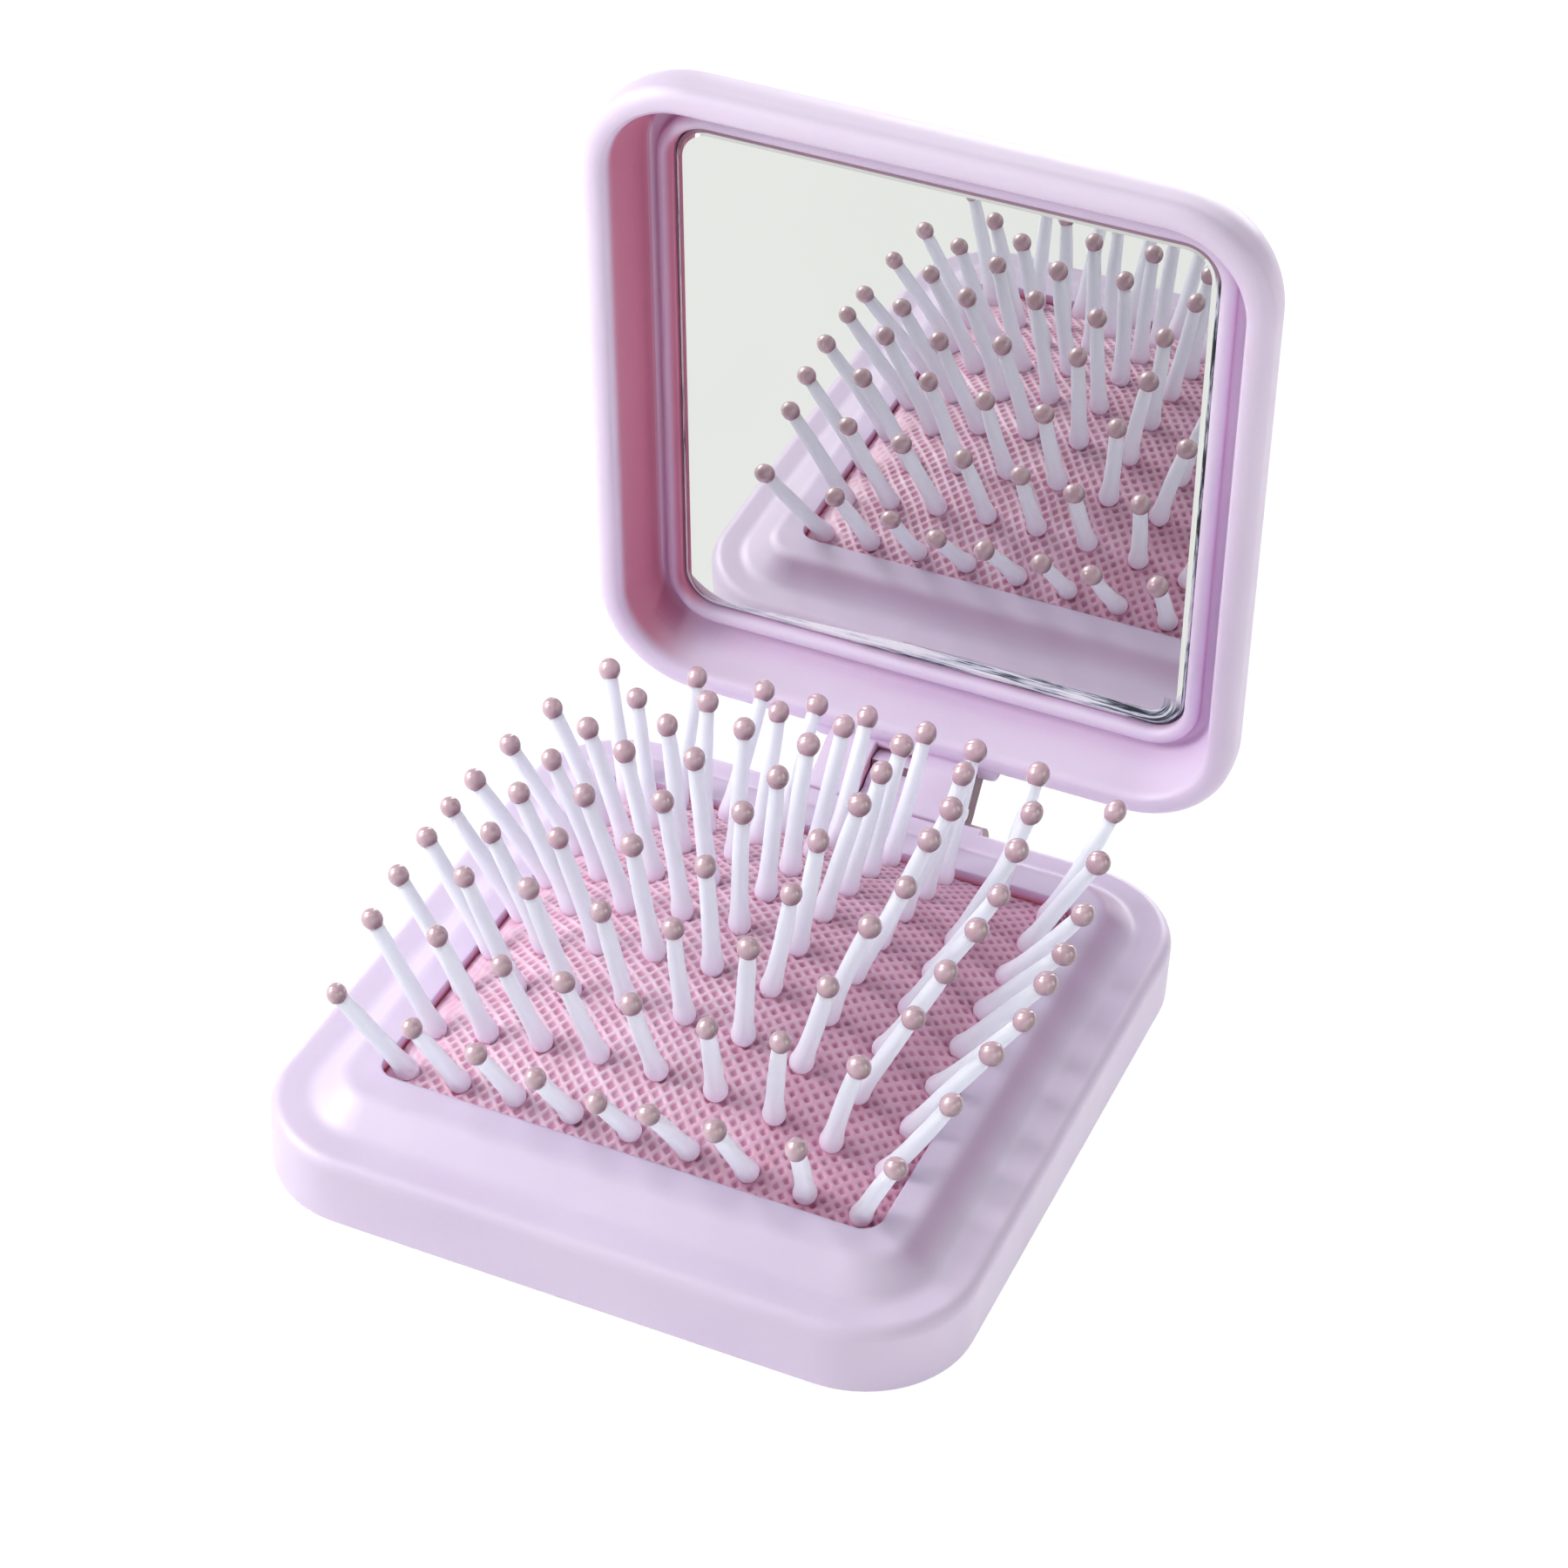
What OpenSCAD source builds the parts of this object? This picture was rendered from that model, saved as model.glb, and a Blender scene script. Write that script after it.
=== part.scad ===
// Folding pocket hairbrush with a mirror in the lid.
// Shown open. The origin is the middle of the base's footprint, Z is up,
// X runs along the hinge and Y points from the front towards the hinge.
// All sizes are in millimetres.

/* [Case] */
// Width of the closed case, along the hinge
case_w = 76; // [65:1:100]
// Depth of the closed case, front to back
case_d = 80; // [70:1:105]
// Radius of the upright corners of base and lid
corner_r = 12; // [9:0.5:16]
// How far the lid is opened, in degrees
open_angle = 84; // [0:1:94]

/* [Base] */
// Height of the flange that the lid lands on
flange_z = 8; // [7:0.1:12]
// Rounding of the flange's outer edge
base_edge_r = 1.4; // [0.5:0.1:3]
// Wall thickness of the base shell
wall_t = 1.8; // [1.2:0.1:2.4]
// Width of the flat flange, from the outer wall to the foot of the ramp
flange_w = 3.2; // [2.6:0.1:4]
// Height of the raised deck above the flange
deck_rise = 2.8; // [1.5:0.1:4]
// Slope of the ramp between flange and deck, in degrees
ramp_angle = 38; // [25:1:60]
// Radius at the top and the bottom of the ramp
ramp_r = 2.5; // [1:0.1:3]
// Thickness of the deck round the opening
deck_t = 2.3; // [1.5:0.1:3]
// Width of the frame left round the opening, at the sides
frame_x = 10.7; // [9.8:0.1:13]
// Width of the frame left round the opening, at front and back
frame_y = 11.3; // [10.4:0.1:13]
// Corner radius of the opening
opening_r = 2.2; // [1:0.1:5]

/* [Bottom frame] */
// Thickness of the bottom plate
plate_t = 1.4; // [1:0.1:2]
// Width of the bottom plate, from the case's outer wall to its opening
plate_w = 14; // [12:0.5:16]
// Gap between the bottom frame and the shell it snaps into
frame_gap = 0.15; // [0.1:0.01:0.3]

/* [Cushion] */
// Height of the dome above its rim
dome_h = 9.16; // [5:0.1:10]
// Depth of the dome's rim below the deck
rim_drop = 1.56; // [1.2:0.01:2]
// Thickness of the rubber
rubber_t = 1.2; // [0.8:0.1:1.6]
// Gap between the dome and the edge of the opening
dome_gap = 0.3; // [0.2:0.05:0.6]

/* [Bristle pins] */
// Length of a pin from the rubber to the middle of its ball
pin_len = 14.5; // [10:0.1:18]
// Radius of a pin where it leaves the rubber
foot_r = 1.2; // [0.9:0.05:1.4]
// Radius of a pin at half its length
shaft_r = 0.9; // [0.6:0.05:1]
// Radius of a pin under its ball
neck_r = 0.8; // [0.5:0.05:0.9]
// Radius of a ball
ball_r = 1.2; // [0.9:0.05:1.5]
// Largest random lean of a pin, in degrees
lean_scatter = 3; // [0:0.1:4]

/* [Lid] */
// Gap between the lid's lip and the flange when shut
lip_gap = 0.4; // [0.2:0.05:1]
// Outer depth of the lid
lid_h = 9.6; // [9.2:0.1:13]
// Rounding of the lid's outer edge
lid_edge_r = 6.8; // [2:0.1:7.5]
// Rounding of the lip's outer edge
lip_r = 1.7; // [0.3:0.1:1.8]
// Thickness of the lid wall at the lip
lip_t = 3.0; // [2.6:0.1:3.2]
// Thickness of the lid behind the mirror's pocket
roof_t = 1; // [0.8:0.1:1.8]
// Width of the raised bead round the mirror
bead_w = 1.8; // [1.2:0.1:2.4]
// Height of that bead
bead_h = 1.5; // [0.6:0.1:2]

/* [Mirror] */
// Width of the frame left round the mirror, at the sides
mirror_x = 7.9; // [7.6:0.05:9]
// Width of the frame left round the mirror, at front and back
mirror_y = 8.05; // [8:0.05:9.6]
// How far the mirror sits towards the hinge from the middle of the lid
mirror_shift = 0.55; // [0:0.05:1]
// Corner radius of the mirror
mirror_r = 4; // [2:0.1:6]
// Thickness of the glass
glass_t = 1.05; // [0.8:0.05:1.2]
// Width of the ground edge of the glass
grind_w = 0.8; // [0.3:0.1:1.2]
// Depth of the mirror's pocket in the lid's floor
pocket_t = 0.8; // [0.6:0.05:1]

/* [Hinge] */
// Distance of the hinge axis behind the case
axis_out = 4.34; // [4:0.02:5]
// Depth of the hinge axis below the flange
axis_drop = 1.85; // [1.4:0.05:2.4]
// Radius of the steel pin
pin_r = 0.75; // [0.5:0.05:1]
// Running gap between the steel pin and the base knuckle, on the radius
run_gap = 0.05; // [0.02:0.01:0.1]
// Radius of the lid's two arms round the axis
arm_r = 3.2; // [2.6:0.1:3.6]
// Half of the slot between the two arms
slot_half = 3.15; // [2.5:0.05:4]
// Outer face of each arm, from the middle
arm_x = 8.8; // [7:0.1:10]
// Gap beside each arm and beside the knuckle
side_gap = 0.2; // [0.12:0.01:0.4]

/* [Hidden] */
$fn = 96;
// length that lets one cut pass cleanly through another shape
over = 1;
half_w = case_w / 2;
half_d = case_d / 2;
deck_z = flange_z + deck_rise;
seat_z = deck_z - deck_t;
core_x = half_w - corner_r;
core_y = half_d - corner_r;
open_x = half_w - frame_x;
open_y = half_d - frame_y;
floor_x = half_w - plate_w;
floor_y = half_d - plate_w;
plate_z = 0.6;
dome_rim_z = deck_z - rim_drop;

// height of the shell's inside beside its walls, and the width of the sloping part
side_z = flange_z - wall_t;
slope_in = wall_t + 2.4;
seat_in = slope_in + 2.4;

// rubber flange that is clamped under the deck
rim_t = 1.35;
rim_play = 0.05;
rim_z = seat_z - rim_play - rim_t;
rim_in = seat_in + 0.2;
clamp_w = 2.3;

// snap beads of the bottom frame
snap_l = 6;
snap_h = 0.8;
snap_out = 0.35;
snap_play = 0.15;
snap_z = plate_z + 0.3;

// lid, written as if it were shut
lip_z = flange_z + lip_gap;
lid_top = lip_z + lid_h;
floor_depth = lid_h - pocket_t - roof_t;
floor_z = lip_z + floor_depth;
pocket_z = floor_z + pocket_t;
bead_fillet = 0.5;
bead_top = floor_z - bead_h;

// mirror layers, from the front face of the glass to the bottom of its pocket
backing_t = 0.1;
tape_t = 0.15;
glass_z = pocket_z - tape_t - backing_t - glass_t;
mirror_hx = half_w - mirror_x;
mirror_hy = half_d - mirror_y;
pocket_play = 0.15;
grind_t = 0.35;

// middle of the bead, measured from the edge of the glass, and the foot of the bead nearest the wall
bead_out = pocket_play + 0.1 + bead_w / 2;
bead_foot = mirror_y - mirror_shift - bead_out - bead_w / 2 - bead_fillet;

// hinge
axis_y = half_d + axis_out;
axis_z = flange_z - axis_drop;
knuckle_r = 2.8;
knuckle_half = slot_half - side_gap;
notch_half = arm_x + side_gap * 2;
cheek_r = 3.3;
cheek_y = half_d - 0.6;
cheek_z = axis_z - 1.45;
cheek_x = notch_half + 3;
sweep_r = 5.4;
boss_half = arm_x + 2.5;
boss_out = 1.3;
boss_r = 1.2;
block_in = 5.6;
// full opening, where the corner of the base knuckle meets the back wall of the lid
stop_angle = 94;
stop_play = 0.06;
stop_r = (axis_out - stop_play) / (sin(stop_angle) - cos(stop_angle));

// points of an arc, from angle a0 to angle a1
function arc(c, r, a0, a1, n) =
    [for (i = [0 : n]) c + r * [cos(a0 + (a1 - a0) * i / n), sin(a0 + (a1 - a0) * i / n)]];

// top line of the base from the outer wall inwards: u is the distance from the wall, negative inwards
ramp_len = (deck_rise - 2 * ramp_r * (1 - cos(ramp_angle))) / sin(ramp_angle);
ramp_w = 2 * ramp_r * sin(ramp_angle) + ramp_len * cos(ramp_angle);

// height of the dome over a point
function dome_z(x, y) =
    dome_rim_z + dome_h * (1 - pow(x / (open_x + 0.6), 2)) * (1 - pow(y / (open_y + 0.7), 2));

// nine rows of nine pins, whose feet are slightly closer together towards the edges
mid_pin = 4;
function foot_x(u) = (open_x - 2.6) * (1.04 * u - 0.04 * pow(u, 3));
function foot_y(v) = (open_y - 2.7) * (1.04 * v - 0.04 * pow(v, 3));

// repeatable scatter between -1 and 1
function scatter(i, j, k) = sin(i * 12711 + j * 31173 + k * 7411) * 43.7 % 1;

// lean of a pin towards X and towards Y: outwards at the sides, less so in the corners
function lean_x(u, v) = u * (36.9 - 44.1 * v * v + 28.4 * u * u * v * v);
function lean_y(u, v) = v * (26.6 + 12.9 * v * v - 44.7 * u * u + 28.4 * u * u * v * v);
function calm(u) = 1 - 0.6 * pow(u, 4);
function pin_dir(i, j) =
    let (u = i / mid_pin, v = j / mid_pin)
    let (a = lean_x(u, v) + lean_scatter * calm(u) * scatter(i, j, 1))
    let (b = lean_y(u, v) + lean_scatter * calm(v) * scatter(i, j, 2))
    [tan(a), tan(b), 1];

base_housing();
bottom_frame();
cushion_pad();
pin_row(1);  // pin_row_1
pin_row(2);  // pin_row_2
pin_row(3);  // pin_row_3
pin_row(4);  // pin_row_4
pin_row(5);  // pin_row_5
pin_row(6);  // pin_row_6
pin_row(7);  // pin_row_7
pin_row(8);  // pin_row_8
pin_row(9);  // pin_row_9
tip_row(1);  // tip_row_1
tip_row(2);  // tip_row_2
tip_row(3);  // tip_row_3
tip_row(4);  // tip_row_4
tip_row(5);  // tip_row_5
tip_row(6);  // tip_row_6
tip_row(7);  // tip_row_7
tip_row(8);  // tip_row_8
tip_row(9);  // tip_row_9
hinge_pin();
swung() lid_shell();
swung() mirror_tape();
swung() mirror_backing();
swung() mirror_glass();

// ---- helpers ----

// turns what is written shut to the opened position
module swung() {
    translate([0, axis_y, axis_z])
        rotate([-open_angle, 0, 0])
            translate([0, -axis_y, -axis_z])
                children();
}

// sweeps a profile round a rounded rectangle: the profile's x is the distance outwards
// from the line with half sizes hx and hy, its y is the height
module swept(hx, hy, r) {
    for (k = [0 : 3]) {
        side = k % 2 == 0 ? hx : hy;
        length = k % 2 == 0 ? hy : hx;
        rotate(90 * k)
            translate([side - r, 0, 0])
                rotate([90, 0, 0])
                    linear_extrude(height = 2 * (length - r), center = true)
                        translate([r, 0])
                            children();
    }
    for (k = [0 : 3]) {
        sx = k == 0 || k == 3 ? 1 : -1;
        sy = k < 2 ? 1 : -1;
        translate([sx * (hx - r), sy * (hy - r), 0])
            rotate(90 * k)
                rotate_extrude(angle = 90)
                    translate([r, 0])
                        children();
    }
}

// flat rounded rectangle
module round_rect(hx, hy, r) {
    square([2 * hx, 2 * (hy - r)], center = true);
    square([2 * (hx - r), 2 * hy], center = true);
    for (x = [-1, 1])
        for (y = [-1, 1])
            translate([x * (hx - r), y * (hy - r)])
                circle(r);
}

// block with a rounded rectangle for its outline
module slab(hx, hy, r, z0, z1) {
    translate([0, 0, z0])
        linear_extrude(height = z1 - z0)
            round_rect(hx, hy, r);
}

// box from its two corners
module box(low, high) {
    translate(low)
        cube(high - low);
}

// extrudes a side view, drawn in Y and Z, from x0 to x1
module side_view(x0, x1) {
    translate([x0, 0, 0])
        rotate([90, 0, 90])
            linear_extrude(height = x1 - x0)
                children();
}

// ---- base ----

module base_profile() {
    bottom_r = 0.4;
    low = [-flange_w, flange_z];
    top = low + [-ramp_w, deck_rise];
    polygon(concat(
        [[-corner_r, 0]],
        arc([-bottom_r, bottom_r], bottom_r, -90, 0, 3),
        arc([-base_edge_r, flange_z - base_edge_r], base_edge_r, 0, 90, 10),
        arc(low + [0, ramp_r], ramp_r, -90, -90 - ramp_angle, 8),
        arc(top - [0, ramp_r], ramp_r, 90 - ramp_angle, 90, 8),
        [[-corner_r, deck_z]]
    ));
}

module base_hollow() {
    swept(half_w, half_d, corner_r)
        polygon([
            [-corner_r, -over],
            [-wall_t, -over],
            [-wall_t, side_z],
            [-slope_in, side_z],
            [-seat_in, seat_z],
            [-corner_r, seat_z]
        ]);
    box([-core_x, -core_y, -over], [core_x, core_y, seat_z]);
}

module snaps(play) {
    grow = [play, play, play];
    for (m = [0, 1])
        mirror([m, 0, 0])
            for (y = [-1, 1])
                translate([half_w - wall_t - frame_gap, y * core_y / 2, snap_z + snap_h / 2])
                    cube([2 * snap_out, snap_l, snap_h] + 2 * grow, center = true);
    for (x = [-1, 1])
        translate([x * core_x / 2, -half_d + wall_t + frame_gap, snap_z + snap_h / 2])
            cube([snap_l, 2 * snap_out, snap_h] + 2 * grow, center = true);
}

// solid part of the base round the hinge: inner block, cheeks and middle knuckle
module base_hinge() {
    box([-cheek_x, half_d - block_in, 0.4], [cheek_x, half_d - wall_t + 0.5, side_z + 0.5]);
    for (m = [0, 1])
        mirror([m, 0, 0])
            side_view(notch_half, cheek_x)
                translate([cheek_y, cheek_z])
                    circle(cheek_r);
}

module base_knuckle() {
    back = half_d - block_in + over;
    difference() {
        side_view(-knuckle_half, knuckle_half) {
            translate([axis_y, axis_z])
                circle(knuckle_r);
            translate([axis_y, axis_z])
                square([stop_r, stop_r]);
            polygon([
                [back, 1.2],
                [half_d + 1, 1.2],
                [axis_y, axis_z - knuckle_r],
                [axis_y, axis_z + knuckle_r],
                [axis_y - 2.4, axis_z + 1.6],
                [back, axis_z + 1.4]
            ]);
        }
        side_view(-knuckle_half - over, knuckle_half + over)
            translate([axis_y, axis_z])
                circle(pin_r + run_gap);
    }
}

// room for the lid's arms to swing in the back wall
module hinge_notch() {
    side_view(-notch_half, notch_half) {
        translate([axis_y, axis_z])
            circle(sweep_r);
        polygon([
            [half_d - 1, deck_z],
            [half_d - 1, axis_z - 1],
            [axis_y, axis_z - 1],
            [axis_y, deck_z]
        ]);
    }
}

module base_housing() {
    color([0.88, 0.82, 0.92]) {
        difference() {
            union() {
                difference() {
                    union() {
                        swept(half_w, half_d, corner_r)
                            base_profile();
                        box([-core_x, -core_y, 0], [core_x, core_y, deck_z]);
                    }
                    base_hollow();
                    slab(open_x, open_y, opening_r, 0, deck_z + over);
                }
                base_hinge();
            }
            hinge_notch();
            snaps(snap_play);
        }
        base_knuckle();
    }
}

module bottom_frame() {
    out_x = half_w - wall_t - frame_gap;
    out_y = half_d - wall_t - frame_gap;
    clamp_x = half_w - rim_in;
    clamp_y = half_d - rim_in;
    clamp_r = corner_r - rim_in;
    plate_top = plate_z + plate_t;
    color([0.84, 0.78, 0.88])
        difference() {
            union() {
                slab(out_x, out_y, corner_r - wall_t - frame_gap, plate_z, plate_top);
                slab(clamp_x, clamp_y, clamp_r, plate_top - 0.1, rim_z);
                snaps(0);
            }
            slab(clamp_x - clamp_w, clamp_y - clamp_w, clamp_r - clamp_w, plate_top, rim_z + over);
            slab(floor_x, floor_y, opening_r, -over, rim_z + over);
            box(
                [-cheek_x - 0.3, half_d - block_in - 0.3, -over],
                [cheek_x + 0.3, half_d, rim_z + over]
            );
        }
}

// ---- cushion and bristles ----

module dome_skin() {
    // grid lines each way, laid out to the edge of the opening
    n = 20;
    w = open_x - dome_gap + 0.2;
    d = open_y - dome_gap + 0.2;
    cols = n + 1;
    count = cols * cols;
    top = [for (j = [0 : n]) for (i = [0 : n])
        let (x = w * (2 * i / n - 1), y = d * (2 * j / n - 1))
        [x, y, dome_z(x, y)]];
    low = [for (p = top) [p.x, p.y, p.z - rubber_t]];
    function at(i, j) = j * cols + i;
    upper = [for (j = [0 : n - 1]) for (i = [0 : n - 1]) for (t = [0, 1])
        t == 0 ? [at(i, j), at(i + 1, j + 1), at(i + 1, j)] : [at(i, j), at(i, j + 1), at(i + 1, j + 1)]];
    under = [for (f = upper) [f[2] + count, f[1] + count, f[0] + count]];
    rim = [for (i = [0 : n - 1]) each [
        [at(i, 0), at(i + 1, 0), at(i + 1, 0) + count, at(i, 0) + count],
        [at(i + 1, n), at(i, n), at(i, n) + count, at(i + 1, n) + count],
        [at(0, i + 1), at(0, i), at(0, i) + count, at(0, i + 1) + count],
        [at(n, i), at(n, i + 1), at(n, i + 1) + count, at(n, i) + count]
    ]];
    polyhedron(points = concat(top, low), faces = concat(upper, under, rim));
}

module cushion_pad() {
    skirt_x = open_x - dome_gap;
    skirt_y = open_y - dome_gap;
    color([0.92, 0.66, 0.75]) {
        difference() {
            intersection() {
                dome_skin();
                slab(skirt_x, skirt_y, opening_r - dome_gap, rim_z, dome_rim_z + dome_h + over);
            }
            for (j = [-mid_pin : mid_pin])
                pin_holes(j);
        }
        difference() {
            union() {
                slab(half_w - rim_in, half_d - rim_in, corner_r - rim_in, rim_z, rim_z + rim_t);
                slab(skirt_x, skirt_y, opening_r - dome_gap, rim_z, dome_rim_z - 0.3);
            }
            slab(skirt_x - rubber_t, skirt_y - rubber_t, opening_r, rim_z - over, deck_z);
        }
    }
}

// puts children at every foot of row j, with Z along the pin
module row_of(j) {
    y = foot_y(j / mid_pin);
    for (i = [-mid_pin : mid_pin]) {
        x = foot_x(i / mid_pin);
        d = pin_dir(i, j);
        translate([x, y, dome_z(x, y)])
            rotate([0, acos(1 / norm(d)), atan2(d.y, d.x)])
                children();
    }
}

// the head of a pin sits behind the rubber
head_top = -rubber_t - 0.35;
head_t = 0.8;
head_r = 1.3;
hole_r = shaft_r - 0.08;
pin_end = pin_len - 0.4;

module pin_holes(j) {
    row_of(j)
        translate([0, 0, head_top - head_t])
            cylinder(r = hole_r, h = head_t - head_top + over);
}

module pin_row(k) {
    color([0.95, 0.94, 0.98])
        row_of(k - 1 - mid_pin)
            rotate_extrude()
                polygon([
                    [0, head_top - head_t],
                    [head_r, head_top - head_t],
                    [head_r, head_top],
                    [shaft_r, head_top],
                    [shaft_r, -0.5],
                    [foot_r * 0.85, -0.15],
                    [foot_r, 0.5],
                    [foot_r, 0.9],
                    [foot_r * 0.87, 1.6],
                    [shaft_r * 1.08, 3],
                    [shaft_r, pin_len / 2],
                    [neck_r, pin_len - ball_r],
                    [neck_r, pin_end],
                    [0, pin_end]
                ]);
}

module tip_row(k) {
    color([0.76, 0.62, 0.63])
        row_of(k - 1 - mid_pin)
            difference() {
                translate([0, 0, pin_len])
                    sphere(ball_r);
                translate([0, 0, pin_len - ball_r - over])
                    cylinder(r = neck_r, h = pin_end - pin_len + ball_r + over);
            }
}

// ---- lid, written as if it were shut ----

module lid_profile() {
    // the large edge leaves some straight wall above the lip
    r = min(lid_edge_r, lid_h - lip_r - 0.5);
    polygon(concat(
        [[-corner_r, lip_z]],
        arc([-lip_r, lip_z + lip_r], lip_r, -90, 0, 8),
        arc([-r, lid_top - r], r, 0, 90, 18),
        [[-corner_r, lid_top]]
    ));
}

module lid_hollow() {
    // inside of the wall: upright at the lip, and one long curve from there into the floor
    edge = 1;
    start = 1.2;
    reach = bead_foot - lip_t;
    steps = 12;
    swept(half_w, half_d, corner_r)
        polygon(concat(
            [[-corner_r, lip_z - over], [-lip_t + edge, lip_z - over]],
            arc([-lip_t + edge, lip_z + edge], edge, -90, -180, 3),
            [for (t = [0 : 90 / steps : 90])
                [-lip_t - reach * (1 - cos(t)), lip_z + start + (floor_depth - start) * sin(t)]],
            [[-corner_r, floor_z]]
        ));
    box([-core_x, -core_y, lip_z - over], [core_x, core_y, floor_z]);
}

module mirror_bead() {
    r = bead_w / 2;
    root = floor_z + 0.2;
    out = r + bead_fillet;
    translate([0, mirror_shift, 0])
        swept(mirror_hx + bead_out, mirror_hy + bead_out, mirror_r + bead_out)
            polygon(concat(
                [[out, root], [-r, root]],
                arc([0, bead_top + r], r, 180, 360, 12),
                arc([out, floor_z - bead_fillet], bead_fillet, 180, 90, 6)
            ));
}

// side view of an arm with its heel
module arm_view() {
    translate([axis_y, axis_z])
        circle(arm_r);
    polygon([
        [half_d - 1.9, lip_z + 1.4],
        [half_d - 0.7, lip_z + 0.2],
        [half_d - 0.4, axis_z + 0.8],
        [axis_y - 2.3, axis_z - 4.6],
        [axis_y - 1.1, axis_z - 5.1],
        [axis_y + 1.5, axis_z - 2.7],
        [axis_y + 1.6, axis_z + 2.7],
        [half_d + boss_out, lip_z + 4.4],
        [half_d - 1.9, lip_z + 4.8]
    ]);
}

module lid_shell() {
    color([0.89, 0.83, 0.93])
        difference() {
            union() {
                difference() {
                    union() {
                        swept(half_w, half_d, corner_r)
                            lid_profile();
                        box([-core_x, -core_y, lip_z], [core_x, core_y, lid_top]);
                    }
                    lid_hollow();
                }
                mirror_bead();
                // thickening of the back wall that carries the arms
                intersection() {
                    side_view(-boss_half, boss_half)
                        polygon([
                            [half_d - lip_t + 0.6, lip_z + 1.2],
                            [half_d - 0.4, lip_z + 0.4],
                            [half_d + boss_out, lip_z + 0.9],
                            [half_d + boss_out, lip_z + 4.4],
                            [half_d - 1.4, lip_z + 6.4],
                            [half_d - lip_t + 0.6, lip_z + 5]
                        ]);
                    slab(boss_half, half_d + boss_out, boss_r, lip_z, lid_top);
                }
                side_view(-arm_x, arm_x)
                    arm_view();
            }
            // slot for the base's knuckle
            box([-slot_half, half_d, 0], [slot_half, axis_y + arm_r + over, lid_top]);
            box([-slot_half, half_d - 1.9, 0], [slot_half, half_d + over, lip_z]);
            translate([0, mirror_shift, 0])
                slab(
                    mirror_hx + pocket_play, mirror_hy + pocket_play, mirror_r + pocket_play,
                    lip_z, pocket_z
                );
            side_view(-arm_x - over, arm_x + over)
                translate([axis_y, axis_z])
                    circle(pin_r - 0.02);
        }
}

module mirror_tape() {
    inset = 2;
    color([0.93, 0.93, 0.9])
        translate([0, mirror_shift, 0])
            slab(
                mirror_hx - inset, mirror_hy - inset, mirror_r - inset / 2,
                pocket_z - tape_t, pocket_z
            );
}

module mirror_backing() {
    color([0.45, 0.47, 0.5])
        translate([0, mirror_shift, 0])
            slab(mirror_hx, mirror_hy, mirror_r, pocket_z - tape_t - backing_t, pocket_z - tape_t);
}

module mirror_glass() {
    back = glass_z + glass_t;
    color([0.86, 0.9, 0.9])
        translate([0, mirror_shift, 0]) {
            swept(mirror_hx, mirror_hy, mirror_r)
                polygon([
                    [-mirror_r, glass_z],
                    [-grind_w, glass_z],
                    [0, glass_z + grind_t],
                    [0, back],
                    [-mirror_r, back]
                ]);
            box(
                [-mirror_hx + mirror_r, -mirror_hy + mirror_r, glass_z],
                [mirror_hx - mirror_r, mirror_hy - mirror_r, back]
            );
        }
}

module hinge_pin() {
    color([0.75, 0.76, 0.78])
        translate([-arm_x, axis_y, axis_z])
            rotate([0, 90, 0])
                cylinder(r = pin_r, h = 2 * arm_x);
}
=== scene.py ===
import math

import bpy
import numpy as np
from mathutils import Matrix, Vector

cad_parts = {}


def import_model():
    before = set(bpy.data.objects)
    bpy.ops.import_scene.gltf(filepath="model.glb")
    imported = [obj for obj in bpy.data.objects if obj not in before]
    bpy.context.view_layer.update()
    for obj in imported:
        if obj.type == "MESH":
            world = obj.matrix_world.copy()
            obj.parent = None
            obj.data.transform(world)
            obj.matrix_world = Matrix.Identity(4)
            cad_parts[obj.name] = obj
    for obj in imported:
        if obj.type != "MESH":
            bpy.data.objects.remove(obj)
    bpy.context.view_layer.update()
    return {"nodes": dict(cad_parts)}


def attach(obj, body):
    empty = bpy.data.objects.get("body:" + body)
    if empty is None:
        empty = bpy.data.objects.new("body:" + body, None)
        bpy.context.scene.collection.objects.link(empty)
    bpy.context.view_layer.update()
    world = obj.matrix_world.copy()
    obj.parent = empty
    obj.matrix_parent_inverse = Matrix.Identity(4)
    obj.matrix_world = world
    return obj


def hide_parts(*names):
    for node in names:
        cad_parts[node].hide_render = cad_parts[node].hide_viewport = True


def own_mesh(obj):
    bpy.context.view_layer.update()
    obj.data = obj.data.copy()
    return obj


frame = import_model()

MM = 0.001


# ---------------------------------------------------------------- small helpers

def link(name, data):
    obj = bpy.data.objects.new(name, data)
    bpy.context.scene.collection.objects.link(obj)
    return obj


def new_mesh(name, verts, faces, smooth=True):
    """Object from points in millimetres and lists of corners."""
    mesh = bpy.data.meshes.new(name)
    verts = np.asarray(verts, np.float32) * MM
    mesh.from_pydata([tuple(map(float, v)) for v in verts], [], faces)
    mesh.validate()
    if smooth:
        mesh.polygons.foreach_set("use_smooth", [True] * len(mesh.polygons))
    return link(name, mesh)


def dress(obj, mat):
    obj.data.materials.clear()
    obj.data.materials.append(mat)


def lin(r, g, b):
    """sRGB 0..255 to linear."""
    def channel(c):
        c /= 255.0
        return c / 12.92 if c <= 0.04045 else ((c + 0.055) / 1.055) ** 2.4
    return (channel(r), channel(g), channel(b), 1.0)


# ---------------------------------------------------------------- the numbers shared with the CAD source
# All of them are in millimetres, apart from the angle of the lid.

CASE_W, CASE_D = 76.0, 80.0
# width of the deck round the opening, half the size of the opening, and the rounding of its corners
FRAME_X, FRAME_Y = 10.7, 11.3
OPEN_X, OPEN_Y = CASE_W / 2 - FRAME_X, CASE_D / 2 - FRAME_Y
OPEN_R = 2.2
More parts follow.
